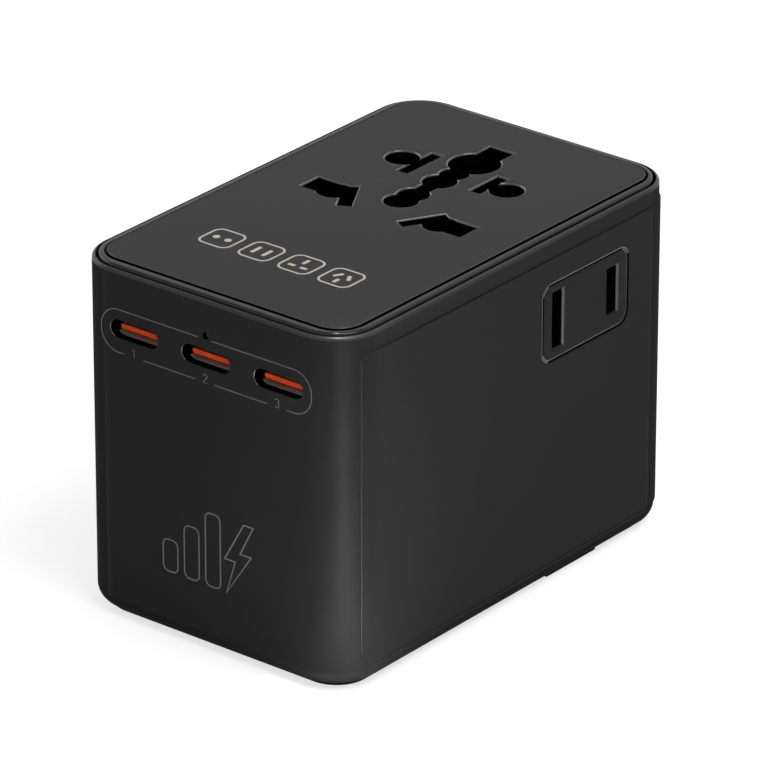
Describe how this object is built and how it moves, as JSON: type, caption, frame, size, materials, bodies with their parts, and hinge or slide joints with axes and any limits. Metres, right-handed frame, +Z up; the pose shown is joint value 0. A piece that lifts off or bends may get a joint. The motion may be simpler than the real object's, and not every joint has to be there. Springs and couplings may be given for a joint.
{
  "type": "multi socket adapter",
  "caption": "Box-shaped travel adapter with a universal socket on top, charging ports in front, a flat-blade outlet on one side and slide-out plug pins below",
  "frame": {"origin": "middle of the resting face under the body", "axes": "-Y faces out of the port face, +X out of the side with the outlet, +Z up through the universal socket"},
  "size_m": [0.0494, 0.0766, 0.0547],
  "materials": {
    "shell_plastic": "fine matte",
    "wrap_plastic": "fine matte",
    "ring_plastic": "gloss",
    "plate_plastic": "matte",
    "inner_plastic": "moulded",
    "steel": "satin",
    "port_insulator": "satin",
    "clear_plastic": "clear",
    "circuit_board": "solder mask",
    "insulating_sheet": "paper",
    "aluminium": "plain",
    "ferrite": "matte",
    "winding_tape": "tape",
    "capacitor_can": "sleeved",
    "chip_resin": "matte",
    "fuse_ceramic": "glazed",
    "brass": "stamped",
    "nickel_plate": "nickel plated"
  },
  "bodies": {
    "housing": {"main_shell": "shell_plastic", "base_cover": "shell_plastic", "side_wrap": "wrap_plastic", "top_ring": "ring_plastic", "face_plate": "plate_plastic", "side_outlet_insert": "plate_plastic", "slide_chassis": "inner_plastic", "socket_core": "inner_plastic", "base_screws": "steel", "usb_port_shell_1": "steel", "usb_port_shell_2": "steel", "usb_port_shell_3": "steel", "shutter_spring": "steel", "usb_port_tongue_1": "port_insulator", "usb_port_tongue_2": "port_insulator", "usb_port_tongue_3": "port_insulator", "led_light_pipe": "clear_plastic", "indicator_led": "clear_plastic", "main_board": "circuit_board", "usb_board": "circuit_board", "board_insulator": "insulating_sheet", "heat_spreader": "aluminium", "transformer_core": "ferrite", "choke": "ferrite", "transformer_winding": "winding_tape", "bulk_capacitors": "capacitor_can", "output_capacitors": "capacitor_can", "power_chip": "chip_resin", "fuse_clips": "brass", "live_contact": "brass", "neutral_contact": "brass", "earth_contact": "brass", "live_feed_strip": "brass", "neutral_feed_strip": "brass", "side_contact_front": "brass", "side_contact_rear": "brass"},
    "uk_plug": {"uk_carriage": "inner_plastic", "uk_live_pin": "nickel_plate", "uk_neutral_pin": "nickel_plate", "uk_earth_pin": "nickel_plate", "uk_slider_knob": "wrap_plastic"},
    "eu_plug": {"eu_carriage": "inner_plastic", "eu_pin_left": "nickel_plate", "eu_pin_right": "nickel_plate", "eu_slider_knob": "wrap_plastic"},
    "us_plug": {"us_carriage": "inner_plastic", "us_slider_knob": "wrap_plastic"},
    "us_left": {"us_blade_left": "nickel_plate"},
    "us_right": {"us_blade_right": "nickel_plate"},
    "shutter": {"socket_shutter": "inner_plastic"},
    "drawer": {"fuse_drawer": "wrap_plastic", "fuse": "fuse_ceramic"}
  },
  "joints": [
    {"name": "uk_pins_slide", "type": "slide", "parent": "housing", "child": "uk_plug", "axis": [0, 0, -1], "range_m": [0, 0.0232]},
    {"name": "eu_pins_slide", "type": "slide", "parent": "housing", "child": "eu_plug", "axis": [0, 0, -1], "range_m": [0, 0.0195]},
    {"name": "us_blades_slide", "type": "slide", "parent": "housing", "child": "us_plug", "axis": [0, 0, -1], "range_m": [0, 0.0175]},
    {"name": "us_left_turn", "type": "hinge", "parent": "us_plug", "child": "us_left", "pos_m": [-0.00635, 0.0117, 0.0235], "axis": [0, 0, 1], "range_deg": [0, 30]},
    {"name": "us_right_turn", "type": "hinge", "parent": "us_plug", "child": "us_right", "pos_m": [0.00635, 0.0117, 0.0235], "axis": [0, 0, -1], "range_deg": [0, 30]},
    {"name": "shutter_slide", "type": "slide", "parent": "housing", "child": "shutter", "axis": [0, -1, 0], "range_m": [0, 0.008], "stiffness_N_per_m": 20, "springref_m": -0.003, "deforming": ["shutter_spring"]},
    {"name": "fuse_drawer_slide", "type": "slide", "parent": "housing", "child": "drawer", "axis": [0, 0, -1], "range_m": [0, 0.0085]}
  ]
}
